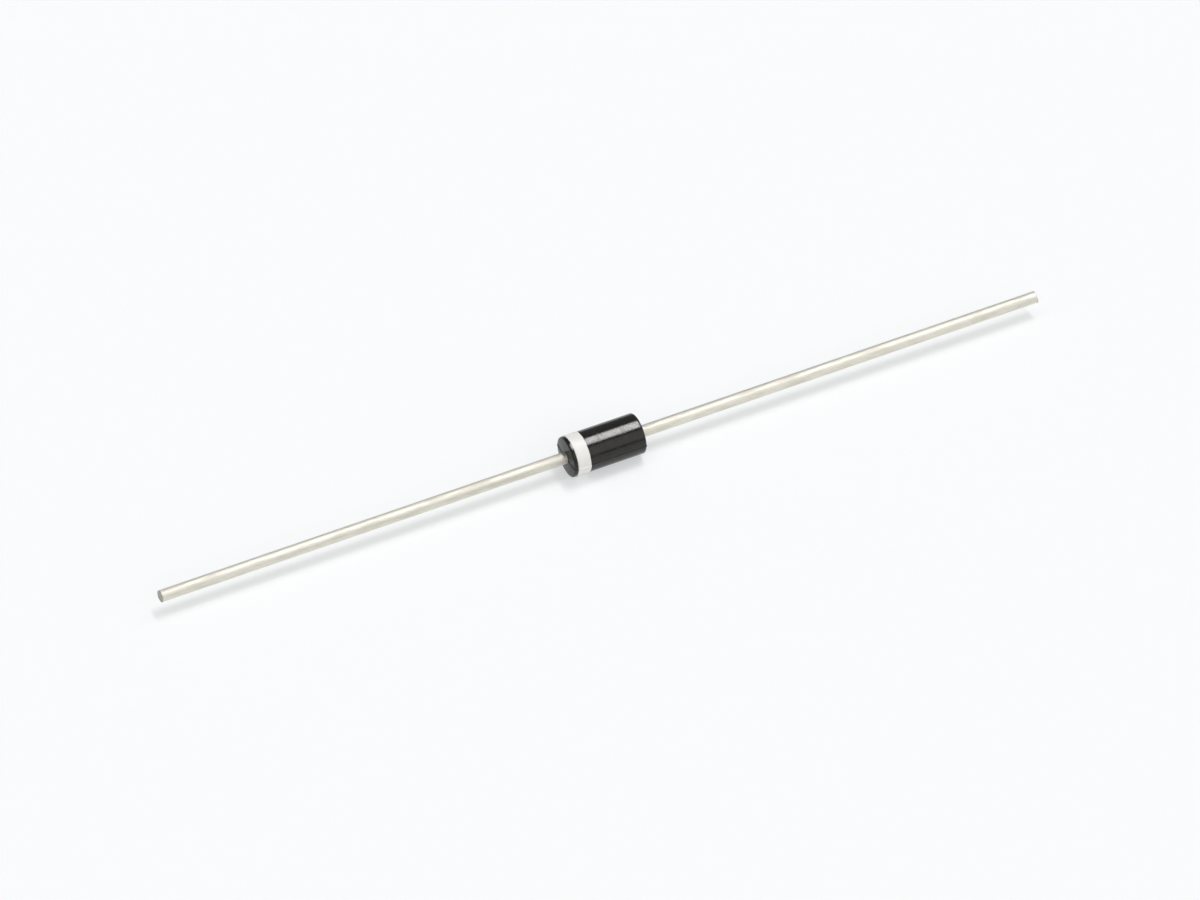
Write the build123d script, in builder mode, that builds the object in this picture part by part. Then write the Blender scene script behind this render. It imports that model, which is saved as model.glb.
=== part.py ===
from build123d import *
import os
from math import radians, tan

# Axial rectifier diode: a black epoxy cylinder moulded round a soldered chip, with one
# tinned copper wire out of each end. Millimetres, +Z up. The wires run along X, the
# cathode wire to -X, and the origin is the centre of the moulded body.

# Moulded body
body_diameter = 2.7
body_length = 5.15
body_edge_round = 0.12
end_face_draft = 3.0

# Parting flash and the stub of the gate, on the plane where the two mould halves met
flash_proud = 0.04
flash_height = 0.04
gate_length = 0.5
gate_height = 0.24
gate_proud = 0.08
gate_taper = 15.0

# Printed cathode band
band_width = 0.91
band_thickness = 0.03
band_margin = 0.11

# Tinned copper leads
lead_diameter = 0.78
lead_length = 28.3
lead_end_break = 0.03

# Nail head, cold formed on the inner end of each lead
head_diameter = 1.6
head_rim_thickness = 0.22
head_flare_length = 0.2
head_edge_break = 0.04

# Anchor, where the wire is squeezed to a broad oval just inside the body's end face
anchor_thickness = 0.46
anchor_oval_length = 0.6
anchor_run_out = 0.4
anchor_cover = 0.09

# Chip, its two solder joints and the junction coating
die_size = 1.05
die_thickness = 0.27
die_bevel = 8.0
solder_thickness = 0.065
solder_corner_round = 0.15
solder_spread = 30.0
coating_cover = 0.15
coating_creep = 0.12

# Radii, and places along the wire counted from the middle of the body
body_radius = body_diameter / 2
lead_radius = lead_diameter / 2
head_radius = head_diameter / 2
coating_radius = head_radius + coating_cover
body_end = body_length / 2
barrel_end = body_end - (body_radius - lead_radius) * tan(radians(end_face_draft))
die_face = die_thickness / 2
head_face = die_face + solder_thickness
head_rim_back = head_face + head_rim_thickness
coating_edge = head_face + coating_creep
neck = head_rim_back + head_flare_length
anchor_end = body_end - anchor_cover
oval_end = anchor_end - anchor_run_out
oval_start = oval_end - anchor_oval_length
anchor_start = oval_start - anchor_run_out
lead_tip = body_end + lead_length
band_start = band_margin + body_edge_round - barrel_end

# The squeezed copper spreads sideways until the oval has the round wire's own area.
anchor_width = lead_diameter**2 / anchor_thickness


# Each lead is one piece of wire. Its inner end is upset to a nail head that the chip is
# soldered to, with an underside that flares out of the wire. Behind the head the wire is
# squeezed between two grooved tools into a broad oval, which keeps it from turning or
# pulling out of the epoxy, and it runs out to round again on each side of the oval. Its
# outer end is cropped square.
with BuildPart() as anode_lead:
    # Nail head and neck
    with BuildSketch(Plane.XY) as head_profile:
        with BuildLine():
            Polyline(
                (head_rim_back, head_radius),
                (head_face, head_radius),
                (head_face, 0),
                (anchor_start, 0),
                (anchor_start, lead_radius),
                (neck, lead_radius),
            )
            Bezier(
                (neck, lead_radius),
                (head_rim_back, lead_radius),
                (head_rim_back, head_radius),
            )
        make_face()
        chamfer(head_profile.vertices().group_by(Axis.X)[0].sort_by(Axis.Y)[-1], length=head_edge_break)
    revolve(axis=Axis.X)
    # Anchor
    with BuildSketch(Plane.YZ.offset(anchor_start)):
        Circle(lead_radius)
    with BuildSketch(Plane.YZ.offset(oval_start)):
        Ellipse(anchor_width / 2, anchor_thickness / 2)
    loft()
    with BuildSketch(Plane.YZ.offset(oval_start)):
        Ellipse(anchor_width / 2, anchor_thickness / 2)
    extrude(amount=anchor_oval_length)
    with BuildSketch(Plane.YZ.offset(oval_end)):
        Ellipse(anchor_width / 2, anchor_thickness / 2)
    with BuildSketch(Plane.YZ.offset(anchor_end)):
        Circle(lead_radius)
    loft()
    # Free wire
    with BuildSketch(Plane.YZ.offset(anchor_end)):
        Circle(lead_radius)
    extrude(amount=lead_tip - anchor_end)
    chamfer(anode_lead.edges().sort_by(Axis.X)[-1], length=lead_end_break)

with BuildPart() as cathode_lead:
    mirror(anode_lead.part, about=Plane.YZ)

# The chip is a square of silicon with bevelled sides, wider on its cathode face.
with BuildPart() as silicon_die:
    with BuildSketch(Plane.YZ.offset(-die_face)):
        Rectangle(die_size, die_size)
    extrude(amount=die_thickness, taper=die_bevel)

# Each face of the chip is soldered to a nail head, and the solder spreads out a little
# from the chip's face to the head.
die_anode_size = die_size - 2 * die_thickness * tan(radians(die_bevel))
with BuildPart() as cathode_solder:
    with BuildSketch(Plane((-die_face, 0, 0), z_dir=(-1, 0, 0))):
        RectangleRounded(die_size, die_size, solder_corner_round)
    extrude(amount=solder_thickness, taper=-solder_spread)

with BuildPart() as anode_solder:
    with BuildSketch(Plane((die_face, 0, 0), z_dir=(1, 0, 0))):
        RectangleRounded(die_anode_size, die_anode_size, solder_corner_round)
    extrude(amount=solder_thickness, taper=-solder_spread)

# A bead of silicone seals the edge of the chip. It fills the space between the two nail
# heads and creeps a little way over their rims.
with BuildPart() as junction_coating:
    with BuildSketch(Plane.XY):
        with BuildLine():
            Polyline(
                (-coating_edge, head_radius),
                (-coating_edge, 0),
                (coating_edge, 0),
                (coating_edge, head_radius),
            )
            ThreePointArc(
                (coating_edge, head_radius),
                (0, coating_radius),
                (-coating_edge, head_radius),
            )
        make_face()
    revolve(axis=Axis.X)
    for insert in (cathode_lead, anode_lead, silicon_die, cathode_solder, anode_solder):
        add(insert.part, mode=Mode.SUBTRACT)

# The body is moulded in one shot round all of these, so its cavity is their own shape.
# Its end faces slope back from the leads to let the mould halves open, a hair of flash
# runs all round where the halves met, and the gate has left a stub at one side.
with BuildPart() as moulded_body:
    with BuildSketch(Plane.XY) as body_profile:
        with BuildLine():
            Polyline(
                (-body_end, 0),
                (-body_end, lead_radius),
                (-barrel_end, body_radius),
                (barrel_end, body_radius),
                (body_end, lead_radius),
                (body_end, 0),
                close=True,
            )
        make_face()
        fillet(body_profile.vertices().group_by(Axis.Y)[-1], radius=body_edge_round)
    revolve(axis=Axis.X)
    with BuildSketch(Plane.XY):
        add(body_profile.sketch)
        mirror(about=Plane.XZ)
        offset(amount=flash_proud)
    extrude(amount=flash_height / 2, both=True)
    with BuildSketch(Plane((0, body_radius + gate_proud, 0), z_dir=(0, -1, 0))):
        Rectangle(gate_length, gate_height)
    extrude(amount=gate_proud + gate_height / 2, taper=-gate_taper)
    for insert in (cathode_lead, anode_lead, silicon_die, cathode_solder, anode_solder, junction_coating):
        add(insert.part, mode=Mode.SUBTRACT)

# The cathode band is one coat of ink, rolled on round the barrel and over its flash.
with BuildPart() as cathode_band:
    with BuildSketch(Plane.YZ.offset(band_start)) as barrel_section:
        Circle(body_radius)
        Rectangle(body_diameter + 2 * flash_proud, flash_height)
        offset(amount=band_thickness)
        Circle(body_radius, mode=Mode.SUBTRACT)
        Rectangle(body_diameter + 2 * flash_proud, flash_height, mode=Mode.SUBTRACT)
    extrude(amount=band_width)

pieces = {
    "moulded_body": moulded_body,
    "cathode_band": cathode_band,
    "cathode_lead": cathode_lead,
    "anode_lead": anode_lead,
    "silicon_die": silicon_die,
    "cathode_solder": cathode_solder,
    "anode_solder": anode_solder,
    "junction_coating": junction_coating,
}
os.makedirs("parts", exist_ok=True)
for name, piece in pieces.items():
    piece.part.label = name
    export_step(piece.part, f"parts/{name}.step")
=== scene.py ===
from math import atan2, cos, pi, radians, sin, tan

import bmesh
import bpy
from mathutils import Matrix, Vector, noise


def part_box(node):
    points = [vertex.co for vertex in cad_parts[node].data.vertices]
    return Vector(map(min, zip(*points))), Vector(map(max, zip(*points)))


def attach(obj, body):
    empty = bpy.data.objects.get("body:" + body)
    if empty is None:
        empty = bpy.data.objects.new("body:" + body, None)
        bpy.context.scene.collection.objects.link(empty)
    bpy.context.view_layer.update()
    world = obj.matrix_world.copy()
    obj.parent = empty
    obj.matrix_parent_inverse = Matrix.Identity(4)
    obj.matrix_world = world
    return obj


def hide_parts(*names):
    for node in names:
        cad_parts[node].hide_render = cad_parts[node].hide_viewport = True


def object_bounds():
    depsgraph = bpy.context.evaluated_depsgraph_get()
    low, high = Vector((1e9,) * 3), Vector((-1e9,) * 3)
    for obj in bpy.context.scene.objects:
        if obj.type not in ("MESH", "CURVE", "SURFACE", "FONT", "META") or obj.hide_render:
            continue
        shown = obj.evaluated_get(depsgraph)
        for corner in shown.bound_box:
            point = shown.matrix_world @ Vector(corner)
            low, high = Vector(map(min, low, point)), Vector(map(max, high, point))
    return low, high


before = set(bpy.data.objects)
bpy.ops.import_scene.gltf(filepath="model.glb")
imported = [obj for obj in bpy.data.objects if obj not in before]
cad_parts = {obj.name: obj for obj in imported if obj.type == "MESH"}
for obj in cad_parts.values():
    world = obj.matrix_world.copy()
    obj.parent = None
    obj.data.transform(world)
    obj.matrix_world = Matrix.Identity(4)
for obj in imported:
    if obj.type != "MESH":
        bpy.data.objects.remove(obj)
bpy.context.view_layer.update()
mm = 0.001

# The chip is a square of silicon, sawn from a wafer and etched so that its sides slope. Both of
# its faces carry a thin nickel film, and it is soldered between the two leads.
silicon_grey = (0.2, 0.21, 0.24, 1)
etched_grey = (0.11, 0.115, 0.13, 1)
chip_face = 0.132 * mm
etch_pit = 0.04 * mm
etch_depth = 0.002 * mm


class Signal:
    """An output of a shader node. Arithmetic on it adds Math nodes to the same node tree."""

    def __init__(self, socket):
        self.socket = socket

    def node(self, kind, settings, inputs, output=0):
        """Adds a node: first its settings, then a value or a link for each input."""
        tree = self.socket.id_data
        made = tree.nodes.new(kind)
        for name, setting in settings.items():
            setattr(made, name, setting)
        for name, value in inputs.items():
            if isinstance(value, Signal):
                tree.links.new(value.socket, made.inputs[name])
            else:
                made.inputs[name].default_value = value
        return Signal(made.outputs[output])

    def math(self, operation, *values):
        return self.node("ShaderNodeMath", {"operation": operation}, dict(enumerate(values)))

    def __add__(self, other):
        return self.math("ADD", self, other)

    def __sub__(self, other):
        return self.math("SUBTRACT", self, other)

    def __rsub__(self, other):
        return self.math("SUBTRACT", other, self)

    def __mul__(self, other):
        return self.math("MULTIPLY", self, other)

    def __truediv__(self, other):
        return self.math("DIVIDE", self, other)

    def __rtruediv__(self, other):
        return self.math("DIVIDE", other, self)

    def __abs__(self):
        return self.math("ABSOLUTE", self)

    __radd__ = __add__
    __rmul__ = __mul__


def along(place, axis):
    """One of the coordinates X, Y and Z of a place on the piece."""
    return place.node("ShaderNodeSeparateXYZ", {}, {"Vector": place}, axis)


def rising(value, low, high):
    """0 up to low and 1 from high on, with a smooth step between."""
    limits = {"Value": value, "From Min": low, "From Max": high}
    return value.node("ShaderNodeMapRange", {"interpolation_type": "SMOOTHSTEP"}, limits)


def patches(place, size, detail=2):
    """Soft random patches from 0 to 1. size is how far across one is, or three sizes along X, Y and Z."""
    sizes = size if isinstance(size, tuple) else (size, size, size)
    scaled = place.node("ShaderNodeVectorMath", {"operation": "DIVIDE"}, {0: place, 1: sizes})
    return place.node("ShaderNodeTexNoise", {}, {"Vector": scaled, "Scale": 1, "Detail": detail})


def painted(base, over, mask):
    """The colour base, with the colour over where the mask is 1."""
    return mask.node("ShaderNodeMix", {"data_type": "RGBA"}, {"Factor": mask, "A": base, "B": over}, "Result")


def relief(height, depth):
    """A bump that stands depth high where the height is 1."""
    return height.node("ShaderNodeBump", {}, {"Height": height, "Distance": depth, "Strength": 1.0})


def finish(name, plain, surface):
    """A material. plain holds what is the same all over, and surface gives what varies with the place."""
    material = bpy.data.materials.new(name)
    material.use_nodes = True
    nodes = material.node_tree.nodes
    shader = nodes["Principled BSDF"]
    for socket, value in plain.items():
        shader.inputs[socket].default_value = value
    place = Signal(nodes.new("ShaderNodeTexCoord").outputs["Object"])
    for socket, signal in surface(place).items():
        material.node_tree.links.new(signal.socket, shader.inputs[socket])
    return material


def silicon_surface(place):
    side = 1 - rising(abs(along(place, "X")), chip_face - etch_pit / 8, chip_face)
    grain = patches(place, etch_pit)
    return {
        "Base Color": painted(silicon_grey, etched_grey, side * (0.6 + 0.4 * grain)),
        "Roughness": 0.22 + 0.3 * side + 0.12 * grain,
        "Normal": relief(grain * side, etch_depth),
    }


silicon = finish("silicon", {"Metallic": 0.4}, silicon_surface)
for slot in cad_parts["silicon_die"].material_slots:
    slot.material = silicon

# A joint of high-lead solder on each face of the chip holds it to the nail head of its lead. The
# solder was a disc that melted in the furnace, and it froze dull, with coarse grains.
solder_grey = (0.55, 0.55, 0.53, 1)
solder_dull = (0.38, 0.375, 0.36, 1)
solder_grain = 0.09 * mm
solder_grain_depth = 0.004 * mm


def solder_surface(place):
    grain = patches(place, solder_grain, 3)
    frost = rising(grain, 0.42, 0.6)
    return {
        "Base Color": painted(solder_grey, solder_dull, frost),
        "Roughness": 0.34 + 0.24 * frost,
        "Normal": relief(grain, solder_grain_depth),
    }


solder = finish("solder", {"Metallic": 0.95}, solder_surface)
for node in ("cathode_solder", "anode_solder"):
    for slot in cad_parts[node].material_slots:
        slot.material = solder

# Each lead is one piece of copper wire, drawn and plated with satin tin. Its inner end is upset to
# a nail head, and behind that an oval locks it in the epoxy. The outer end was cropped by a shear,
# which rolls one edge over and tears the other, so that bare copper and a burr show there.
head_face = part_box("anode_lead")[0].x
lead_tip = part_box("anode_lead")[1].x
lead_length = 28.3 * mm
body_end = lead_tip - lead_length
wire_radius = 0.39 * mm
head_radius = 0.8 * mm
head_edge = 0.04 * mm
head_rim_thickness = 0.22 * mm
head_flare_length = 0.2 * mm
head_back = head_face + head_rim_thickness
neck = head_back + head_flare_length
anchor_cover = 0.09 * mm
anchor_end = body_end - anchor_cover
anchor_run_out = 0.4 * mm
anchor_oval = 0.6 * mm
anchor_half_height = 0.23 * mm
anchor_half_width = wire_radius**2 / anchor_half_height
crop_length = 0.35 * mm
crop_spread = 0.05
crop_roll = 0.07 * mm
crop_burr = 0.035 * mm
crop_tear = 0.006 * mm
crop_tears_per_mm = 14
torn_below = 0.25
wire_facets = 96
flare_steps = 8
run_out_steps = 6
crop_steps = 6
tip_rings = 8
face_rings = 4
sharp_edge = radians(28)
tin_bright = (0.81, 0.785, 0.71, 1)
tin_hazy = (0.73, 0.705, 0.63, 1)
crop_grey = (0.46, 0.45, 0.42, 1)
crop_copper = (0.45, 0.35, 0.285, 1)
drawn_line = (2.4 * mm, 0.022 * mm, 0.022 * mm)
haze_patch = (1.6 * mm, 0.35 * mm, 0.35 * mm)
tin_relief = 0.0035 * mm
sheared_from = lead_tip - 0.1 * mm
sheared_full = lead_tip - 0.05 * mm
torn_grain = 0.02 * mm
torn_ragged = 0.25 * mm
torn_fade = 0.06 * mm


def round_station(x, radius):
    """A place along the X axis, with the half width and the half height of the section there."""
    return (x, radius, radius)


def flare_stations():
    """Under the nail head, a curve from the rim to the wire that is level with both at its ends."""
    stations = []
    for step in range(flare_steps + 1):
        t = step / flare_steps
        x = head_back + (neck - head_back) * t**2
        radius = wire_radius + (head_radius - wire_radius) * (1 - t) ** 2
        stations.append(round_station(x, radius))
    return stations


def anchor_stations():
    """The squeezed stretch, from round to oval and back to round."""
    oval_end = anchor_end - anchor_run_out
    oval_start = oval_end - anchor_oval
    widening = []
    for step in range(run_out_steps + 1):
        t = step / run_out_steps
        half_width = wire_radius + (anchor_half_width - wire_radius) * t
        half_height = wire_radius + (anchor_half_height - wire_radius) * t
        widening.append((anchor_run_out * t, half_width, half_height))
    return (
        [(oval_start - anchor_run_out + x, width, height) for x, width, height in widening]
        + [(anchor_end - x, width, height) for x, width, height in reversed(widening)]
    )


def mirrored(stations):
    """The same stretch on the other side of the middle, run through the other way."""
    return [(-x, half_width, half_height) for x, half_width, half_height in reversed(stations)]


def draw_out(mesh, ring, stations):
    """Extrudes a ring of edges, which lies at the first station, to each next one. Returns the last ring."""
    for here, there in zip(stations, stations[1:]):
        made = bmesh.ops.extrude_edge_only(mesh, edges=ring)["geom"]
        points = [part for part in made if isinstance(part, bmesh.types.BMVert)]
        ring = [part for part in made if isinstance(part, bmesh.types.BMEdge)]
        bmesh.ops.scale(mesh, verts=points, vec=(1, there[1] / here[1], there[2] / here[2]))
        bmesh.ops.translate(mesh, verts=points, vec=(there[0] - here[0], 0, 0))
    return ring


def first_ring(mesh, station, facets):
    """A ring of edges round the X axis at a station."""
    x, half_width, half_height = station
    place = Matrix.Translation((x, 0, 0)) @ Matrix.Rotation(pi / 2, 4, "Y")
    made = bmesh.ops.create_circle(mesh, segments=facets, radius=1, matrix=place)
    bmesh.ops.scale(mesh, verts=made["verts"], vec=(1, half_width, half_height))
    return list({edge for vert in made["verts"] for edge in vert.link_edges})


def close_ring(mesh, ring, station, steps):
    """Fills a ring with smaller rings and a cap in the middle."""
    x, half_width, half_height = station
    inward = [(x, half_width * (1 - step / steps), half_height * (1 - step / steps)) for step in range(steps)]
    last = draw_out(mesh, ring, inward)
    bmesh.ops.contextual_create(mesh, geom=last)


def crop(mesh):
    """The sheared end: the wire spreads a little, its upper edge rolls over and a burr stands below."""
    end_plane = lead_tip - 0.001 * mm
    for vert in mesh.verts:
        along_crop = (vert.co.x - (lead_tip - crop_length)) / crop_length
        if along_crop <= 0:
            continue
        squeeze = crop_spread * along_crop**2
        vert.co.y *= 1 + squeeze
        vert.co.z *= 1 - squeeze
    for vert in mesh.verts:
        if vert.co.x < end_plane:
            continue
        height = vert.co.z / wire_radius
        edge = (vert.co.yz.length / wire_radius) ** 6
        torn = noise.noise(vert.co * (crop_tears_per_mm / mm))
        vert.co.x -= crop_roll * max(0, height) ** 2 * (0.4 + 0.6 * edge)
        vert.co.x -= crop_burr * (1 - edge * max(0, -height))
        broken = min(1, max(0, 1 - height / torn_below))
        vert.co.x += crop_tear * torn * broken


def piece_from(mesh, name, material, node):
    """Makes the finished mesh a piece that rides with the part and stands for its CAD node."""
    bmesh.ops.recalc_face_normals(mesh, faces=mesh.faces)
    for face in mesh.faces:
        face.smooth = True
    for edge in mesh.edges:
        edge.smooth = edge.calc_face_angle(0) < sharp_edge
    data = bpy.data.meshes.new(name)
    mesh.to_mesh(data)
    mesh.free()
    data.materials.append(material)
    piece = bpy.data.objects.new(name, data)
    bpy.context.scene.collection.objects.link(piece)
    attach(piece, "root")
    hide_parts(node)
    return piece


def tin_surface(place):
    haze = rising(patches(place, haze_patch, 4), 0.4, 0.68)
    line = patches(place, drawn_line, 2)
    cropped = rising(abs(along(place, "X")), sheared_from, sheared_full)
    tear = patches(place, torn_grain, 3)
    broken = 1 - rising(along(place, "Z") + torn_ragged * tear, -torn_fade, torn_fade)
    clean = painted(tin_bright, tin_hazy, haze * 0.75)
    sheared = painted(crop_grey, crop_copper, broken)
    return {
        "Base Color": painted(clean, sheared, cropped * (0.65 + 0.35 * tear)),
        "Roughness": 0.57 + 0.08 * haze + 0.08 * line + 0.06 * cropped,
        "Normal": relief(0.6 * line * (1 - cropped) + cropped * tear, tin_relief),
    }


tin = finish("tinned_copper", {"Metallic": 1.0}, tin_surface)
inside_stations = flare_stations() + anchor_stations()
wire_stations = []
for step in range(crop_steps + 1):
    wire_stations.append(round_station(lead_tip - crop_length * (1 - step / crop_steps), wire_radius))

for name, side in (("cathode_wire", -1), ("anode_wire", 1)):
    wire = bmesh.new()
    face = round_station(head_face, head_radius - head_edge)
    rim = [face, round_station(head_face + head_edge, head_radius)]
    inner_ring = first_ring(wire, face, wire_facets)
    outer_ring = draw_out(wire, inner_ring, rim + inside_stations + wire_stations)
    close_ring(wire, outer_ring, wire_stations[-1], tip_rings)
    close_ring(wire, inner_ring, face, face_rings)
    crop(wire)
    bmesh.ops.scale(wire, verts=wire.verts, vec=(side, 1, 1))
    node = name.replace("wire", "lead")
    piece_from(wire, name, tin, node)

# A bead of silicone, brushed on and cured, seals the etched edge of the chip. It is milky and
# smooth, and it fills the gap between the two nail heads.
silicone_milk = (0.8, 0.79, 0.76, 1)
silicone_clear = (0.62, 0.62, 0.6, 1)
silicone_cloud = 0.3 * mm
silicone_dimple = 0.01 * mm
silicone_glow_depth = 0.2 * mm


def silicone_surface(place):
    cloud = patches(place, silicone_cloud)
    return {
        "Base Color": painted(silicone_milk, silicone_clear, rising(cloud, 0.35, 0.7)),
        "Roughness": 0.28 + 0.15 * cloud,
        "Normal": relief(cloud, silicone_dimple),
    }


silicone_look = {"Subsurface Weight": 0.3, "Subsurface Scale": silicone_glow_depth}
silicone = finish("silicone", silicone_look, silicone_surface)
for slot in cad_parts["junction_coating"].material_slots:
    slot.material = silicone

# The body is black epoxy, moulded in one shot round everything above, so its cavity has their
# shape. A hair of flash runs round it where the mould halves met, and the gate was snapped off at
# the middle of one side.
body_radius = 1.35 * mm
flash_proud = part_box("moulded_body")[1].x - body_end
flash_half_height = 0.02 * mm
flash_swells_per_mm = 3
end_face_draft = radians(3)
barrel_end = body_end - (body_radius - wire_radius) * tan(end_face_draft)
edge_round = 0.12 * mm
gate_half_length = 0.25 * mm
gate_half_height = 0.12 * mm
gate_proud = 0.08 * mm
gate_taper = radians(15)
gate_tears_per_mm = (7, 23)
gate_grain = 0.05 * mm
gate_torn_from = body_radius + 0.02 * mm
gate_torn_full = body_radius + 0.05 * mm
coating_creep = 0.12 * mm
coating_edge = head_face + coating_creep
coating_rise = 0.15 * mm
same_place = 1e-5 * mm
barrel_facets = 160
barrel_slices = 32
bevel_steps = 6
bead_steps = 12
epoxy_black = (0.01, 0.009, 0.0078, 1)
epoxy_bloom = (0.016, 0.0145, 0.0125, 1)
epoxy_torn = (0.075, 0.073, 0.07, 1)
mould_grain = 0.035 * mm
mould_grain_depth = 0.0025 * mm
bloom_patch = 0.7 * mm


def cut_at(mesh, axis, place, faces):
    """Cuts these faces along a plane across the X, Y or Z axis. Returns the faces that are there now."""
    normal = Vector((0, 0, 0))
    normal[axis] = 1
    around = {part for face in faces for part in (face, *face.edges, *face.verts)}
    cut = bmesh.ops.bisect_plane(
        mesh, geom=list(around), dist=same_place, plane_co=normal * place, plane_no=normal
    )
    return [part for part in cut["geom"] if isinstance(part, bmesh.types.BMFace)]


def moulded_skin(mesh):
    """The outer skin of the body, turned from its outline and cut where the mould halves met."""
    slices = [barrel_end * (2 * step / barrel_slices - 1) for step in range(barrel_slices + 1)]
    outline = [(-body_end, wire_radius)] + [(x, body_radius) for x in slices] + [(body_end, wire_radius)]
    points = [mesh.verts.new((x, radius, 0)) for x, radius in outline]
    edges = [mesh.edges.new(pair) for pair in zip(points, points[1:])]
    bmesh.ops.spin(
        mesh, geom=points + edges, cent=(0, 0, 0), axis=(1, 0, 0), angle=2 * pi,
        steps=barrel_facets, use_merge=True,
    )
    corners = [
        edge for edge in mesh.edges
        if all(abs(abs(vert.co.x) - barrel_end) < same_place for vert in edge.verts)
        and min(vert.co.yz.length for vert in edge.verts) > body_radius * 0.99
    ]
    bmesh.ops.bevel(
        mesh, geom=corners, offset=edge_round * tan((pi / 2 - end_face_draft) / 2), offset_type="OFFSET",
        segments=bevel_steps, profile=0.5, affect="EDGES", material=-1, clamp_overlap=True,
    )
    bmesh.ops.recalc_face_normals(mesh, faces=mesh.faces)
    faces = mesh.faces[:]
    for height in (-flash_half_height, flash_half_height):
        faces = cut_at(mesh, 2, height, faces)


def snap_gate(mesh):
    """The stub of the gate, a little tapered, with a torn face."""
    foot_length = gate_half_length + gate_proud * tan(gate_taper)
    foot_height = gate_half_height + gate_proud * tan(gate_taper)
    near = [face for face in mesh.faces if face.calc_center_median().y > body_radius * 0.95]
    for axis, reach in ((0, foot_length), (2, foot_height)):
        for place in (-reach, reach):
            near = cut_at(mesh, axis, place, near)
    foot = []
    for face in near:
        middle = face.calc_center_median()
        if abs(middle.x) < foot_length and abs(middle.z) < foot_height:
            foot.append(face)
    made = bmesh.ops.extrude_face_region(mesh, geom=foot)["geom"]
    bmesh.ops.delete(mesh, geom=foot, context="FACES_KEEP_BOUNDARY")
    for vert in [part for part in made if isinstance(part, bmesh.types.BMVert)]:
        vert.co.x *= gate_half_length / foot_length
        vert.co.y = body_radius + gate_proud
        vert.co.z *= gate_half_height / foot_height
    end = {edge for part in made if isinstance(part, bmesh.types.BMFace) for edge in part.edges}
    bmesh.ops.subdivide_edges(mesh, edges=list(end), cuts=2, use_grid_fill=True)
    coarse, fine = gate_tears_per_mm
    for vert in mesh.verts:
        if vert.co.y > body_radius + gate_proud * 0.9:
            torn = noise.noise(vert.co * (coarse / mm)) + 0.6 * noise.noise(vert.co * (fine / mm))
            vert.co.y += gate_proud * min(0, 0.45 * torn - 0.2)


def raise_flash(mesh):
    """The flash: the strip between the two cuts, pushed out by a hair, a little more here than there."""
    strip = set()
    for face in mesh.faces:
        middle = face.calc_center_median()
        if abs(middle.z) < flash_half_height and abs(middle.y) < body_radius * 1.001:
            strip.add(face)
    outward = {}
    for vert in {vert for face in strip for vert in face.verts}:
        normal = sum((face.normal for face in vert.link_faces if face in strip), Vector((0, 0, 0)))
        normal.z = 0
        outward[vert.co.copy().freeze()] = normal.normalized()
    made = bmesh.ops.extrude_face_region(mesh, geom=list(strip))["geom"]
    bmesh.ops.delete(mesh, geom=list(strip), context="FACES_KEEP_BOUNDARY")
    for vert in [part for part in made if isinstance(part, bmesh.types.BMVert)]:
        normal = outward[vert.co.copy().freeze()]
        uneven = 0.8 + 0.35 * noise.noise(vert.co * (flash_swells_per_mm / mm))
        vert.co += normal * flash_proud * min(1, uneven)


def rim_ring(mesh, side):
    """The edges of the hole that the lead comes out of."""
    return [edge for edge in mesh.edges if edge.is_boundary and edge.verts[0].co.x * side > 0]


def cavity_stations():
    """From the anode's end face, along the lead and over the silicone bead, to the cathode's."""
    half = [round_station(coating_edge, head_radius), *inside_stations, round_station(body_end, wire_radius)]
    arc_radius = (coating_edge**2 + coating_rise**2) / (2 * coating_rise)
    arc_angle = 2 * atan2(coating_rise, coating_edge)
    bead = []
    for step in range(bead_steps - 1, -bead_steps, -1):
        angle = arc_angle * step / bead_steps
        radius = head_radius + coating_rise - arc_radius * (1 - cos(angle))
        bead.append(round_station(arc_radius * sin(angle), radius))
    return list(reversed(half)) + bead + list(reversed(mirrored(half)))


def epoxy_surface(place):
    x, y, z = (along(place, axis) for axis in ("X", "Y", "Z"))
    bloom = rising(patches(place, bloom_patch, 3), 0.42, 0.7)
    grain = patches(place, mould_grain, 3)
    tear = patches(place, gate_grain, 4)
    on_flash = (1 - rising(abs(z), flash_half_height, flash_half_height * 1.6)) * 0.5
    on_gate = rising(y, gate_torn_from, gate_torn_full)
    clean = painted(epoxy_black, epoxy_bloom, bloom)
    worn = painted(clean, epoxy_torn, on_flash)
    end_face = rising(abs(x), barrel_end - edge_round, barrel_end)
    return {
        "Base Color": painted(worn, epoxy_torn, on_gate),
        "Roughness": 0.09 + 0.06 * bloom + 0.08 * grain + 0.2 * on_flash + 0.25 * on_gate + 0.12 * end_face,
        "Normal": relief(grain + 6 * on_gate * tear, mould_grain_depth),
    }


epoxy = finish("moulded_epoxy", {"Specular IOR Level": 0.4}, epoxy_surface)
body = bmesh.new()
moulded_skin(body)
snap_gate(body)
raise_flash(body)
cathode_rim = rim_ring(body, -1)
last_ring = draw_out(body, rim_ring(body, 1), cavity_stations()[:-1])
bmesh.ops.bridge_loops(body, edges=last_ring + cathode_rim)
piece_from(body, "body", epoxy, "moulded_body")

# The cathode band is one coat of off-white ink, rolled on round the barrel and over its flash. It
# marks the end with the cathode, and its edges are thin and a little uneven.
band_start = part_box("cathode_band")[0].x
band_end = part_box("cathode_band")[1].x
ink_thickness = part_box("cathode_band")[1].z - body_radius
ink_edge = 0.05 * mm
ink_sag = 0.03 * mm
ink_waver = 0.014 * mm
ink_waves = (2.5, 9)
ink_edges_apart = 5
ink_edge_steps = 8
ink_white = (0.84, 0.83, 0.8, 1)
ink_thin = (0.7, 0.69, 0.66, 1)
ink_pinhole = (0.12, 0.118, 0.112, 1)
pinhole_size = 0.03 * mm
mottle_patch = 0.25 * mm
ink_tooth = 0.04 * mm
ink_relief = 0.006 * mm


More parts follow.
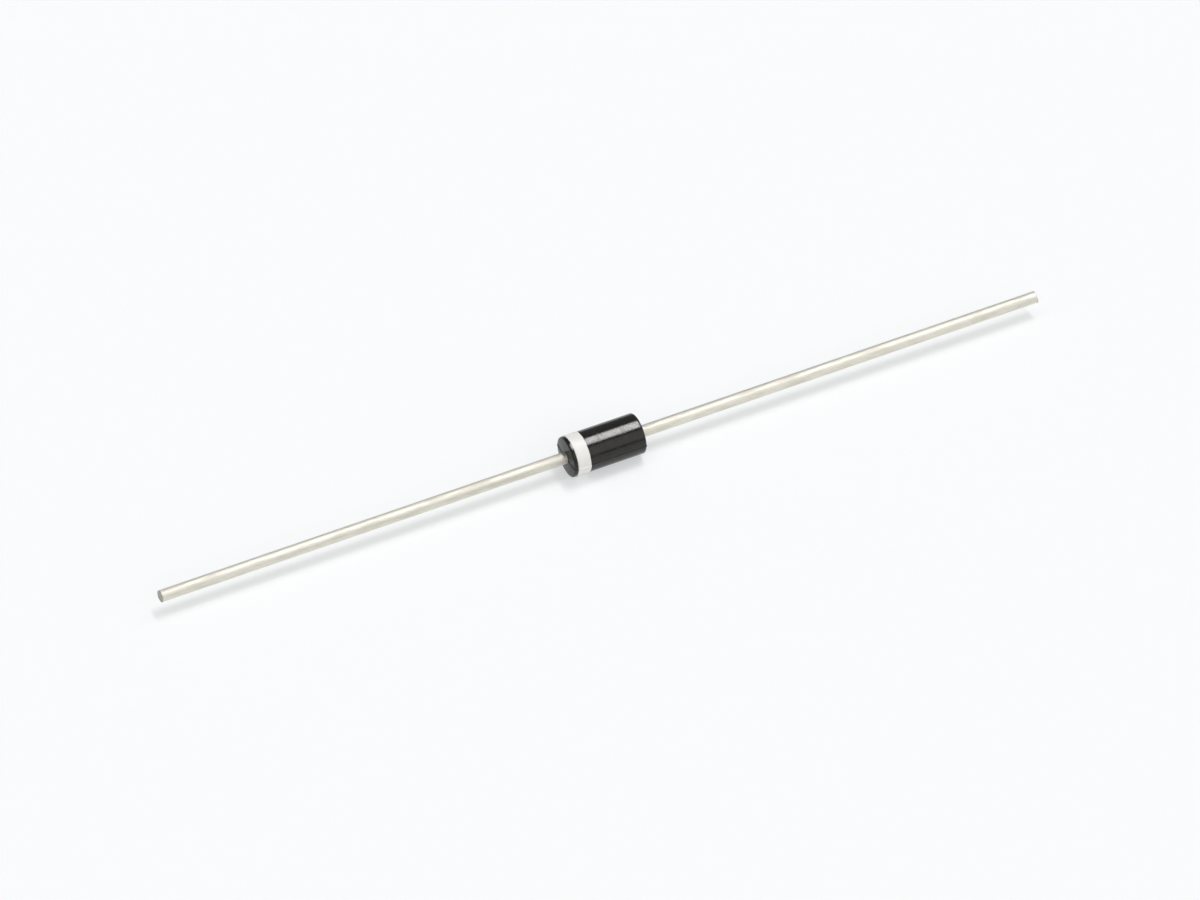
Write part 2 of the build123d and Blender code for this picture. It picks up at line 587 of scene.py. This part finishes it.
def ink_surface(place):
    x = along(place, "X")
    mottle = patches(place, mottle_patch, 3)
    speck = rising(patches(place, pinhole_size, 1), 0.74, 0.78)
    middle = (band_start + band_end) / 2
    half_width = (band_end - band_start) / 2
    near_edge = rising(abs(x - middle), half_width - 1.6 * ink_edge, half_width)
    coat = painted(ink_white, ink_thin, 0.12 * mottle + 0.7 * near_edge)
    return {
        "Base Color": painted(coat, ink_pinhole, speck * 0.8),
        "Roughness": 0.3 + 0.12 * mottle,
        "Normal": relief(mottle + 0.4 * patches(place, ink_tooth), ink_relief),
    }


ink = finish("band_ink", {"Specular IOR Level": 0.35}, ink_surface)
band = bmesh.new()
section = []
for step in range(ink_edge_steps + 1):
    t = step / ink_edge_steps
    reach = ink_edge * (1 - cos(pi / 2 * t))
    section.append((reach, ink_thickness * sin(pi / 2 * t)))
left = [(band_start + reach, body_radius + height) for reach, height in section]
right = [(band_end - reach, body_radius + height) for reach, height in reversed(section)]
points = [band.verts.new((x, radius, 0)) for x, radius in left + right]
edges = [band.edges.new(pair) for pair in zip(points, points[1:] + points[:1])]
bmesh.ops.spin(
    band, geom=points + edges, cent=(0, 0, 0), axis=(1, 0, 0), angle=2 * pi,
    steps=barrel_facets, use_merge=True,
)
faces = band.faces[:]
sag_end = flash_half_height + ink_sag
for height in (-sag_end, -flash_half_height, flash_half_height, sag_end):
    faces = cut_at(band, 2, height, faces)
long_wave, short_wave = ink_waves
for vert in band.verts:
    around = Vector((0.0, vert.co.y, vert.co.z)) / body_radius
    around.x = ink_edges_apart if vert.co.x > (band_start + band_end) / 2 else -ink_edges_apart
    vert.co.x += ink_waver * (noise.noise(around * long_wave) + 0.6 * noise.noise(around * short_wave))
    if abs(vert.co.z) < flash_half_height * 1.01:
        vert.co.y += flash_proud if vert.co.y > 0 else -flash_proud
piece_from(band, "band", ink, "cathode_band")

# Floor and light. The part lies on a plain pale table. A narrow lamp almost overhead is set in a
# long pale ceiling panel, a broad panel stands in front, and the room fills the shadows.
floor_half_size = 4.0
floor_mesh = bmesh.new()
bmesh.ops.create_grid(floor_mesh, x_segments=1, y_segments=1, size=floor_half_size)
bmesh.ops.translate(floor_mesh, verts=floor_mesh.verts, vec=(0, 0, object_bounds()[0].z))
floor_data = bpy.data.meshes.new("floor")
floor_mesh.to_mesh(floor_data)
floor_mesh.free()
floor_white = (0.95, 0.965, 0.972, 1)
floor_look = {"Base Color": floor_white, "Roughness": 1.0, "Specular IOR Level": 0.0}
floor_paint = finish("floor", floor_look, lambda place: {})
floor_nodes = floor_paint.node_tree.nodes
ray = floor_nodes.new("ShaderNodeLightPath").outputs
seen = Signal(ray["Is Camera Ray"]) + Signal(ray["Is Glossy Ray"]) + Signal(ray["Is Transmission Ray"])
glow = seen.node("ShaderNodeEmission", {}, {"Color": floor_white, "Strength": 1.0})
plain = Signal(floor_nodes["Principled BSDF"].outputs[0])
mixed = seen.node("ShaderNodeMixShader", {}, {0: 0.5 * seen, 1: plain, 2: glow})
floor_paint.node_tree.links.new(mixed.socket, floor_nodes["Material Output"].inputs["Surface"])
floor_data.materials.append(floor_paint)
floor = bpy.data.objects.new("floor", floor_data)
bpy.context.scene.collection.objects.link(floor)


def soft_box(direction, toward, half_width, half_length, level):
    """A far soft box in the room, with its half sizes along X and across X in degrees."""
    middle = Vector(toward).normalized()
    across = Vector((0, 1, 0)).cross(middle).normalized()
    lengthways = middle.cross(across)
    ahead = direction.node("ShaderNodeVectorMath", {"operation": "DOT_PRODUCT"}, {0: direction, 1: middle}, 1)
    shape = level * rising(ahead, 0.0, 0.1)
    for axis, half in ((across, half_width), (lengthways, half_length)):
        off = direction.node("ShaderNodeVectorMath", {"operation": "DOT_PRODUCT"}, {0: direction, 1: axis}, 1)
        reach = tan(radians(half))
        shape = shape * (1 - rising(abs(off / ahead), reach * 0.8, reach * 1.2))
    return shape


world = bpy.data.worlds.new("room")
world.use_nodes = True
room = world.node_tree.nodes["Background"]
direction = Signal(world.node_tree.nodes.new("ShaderNodeTexCoord").outputs["Generated"])
room_level = 0.25
overhead = soft_box(direction, toward=(0.311, 0.066, 0.948), half_width=2.4, half_length=18, level=26.0)
ceiling = soft_box(direction, toward=(0.05, 0.08, 0.99), half_width=60, half_length=6, level=2.0)
front = soft_box(direction, toward=(0.25, -0.77, 0.58), half_width=50, half_length=22, level=0.9)
light = room_level + overhead + ceiling + front
world.node_tree.links.new(light.socket, room.inputs["Color"])
bpy.context.scene.world = world
bpy.context.scene.view_settings.view_transform = "Standard"

# The camera looks down at the part from in front of its cathode end, from far off through a long
# lens, as the photograph does.
azimuth = radians(-25.95)
elevation = radians(44.7)
distance = 1.0
picture_width = 76.05 * mm
sensor_width = 36.0
centre_right_of_middle = 0.124 * mm
centre_above_middle = 0.307 * mm
back = Vector((sin(azimuth) * cos(elevation), -cos(azimuth) * cos(elevation), sin(elevation)))
right = Vector((cos(azimuth), sin(azimuth), 0))
up = back.cross(right)
camera_data = bpy.data.cameras.new("camera")
camera_data.sensor_width = sensor_width
camera_data.lens = sensor_width * distance / picture_width
camera_data.clip_start = 0.1
camera_data.clip_end = 20
camera = bpy.data.objects.new("camera", camera_data)
camera.location = back * distance - right * centre_right_of_middle - up * centre_above_middle
camera.rotation_mode = "QUATERNION"
camera.rotation_quaternion = Matrix((right, up, back)).transposed().to_quaternion()
bpy.context.scene.collection.objects.link(camera)
bpy.context.scene.camera = camera
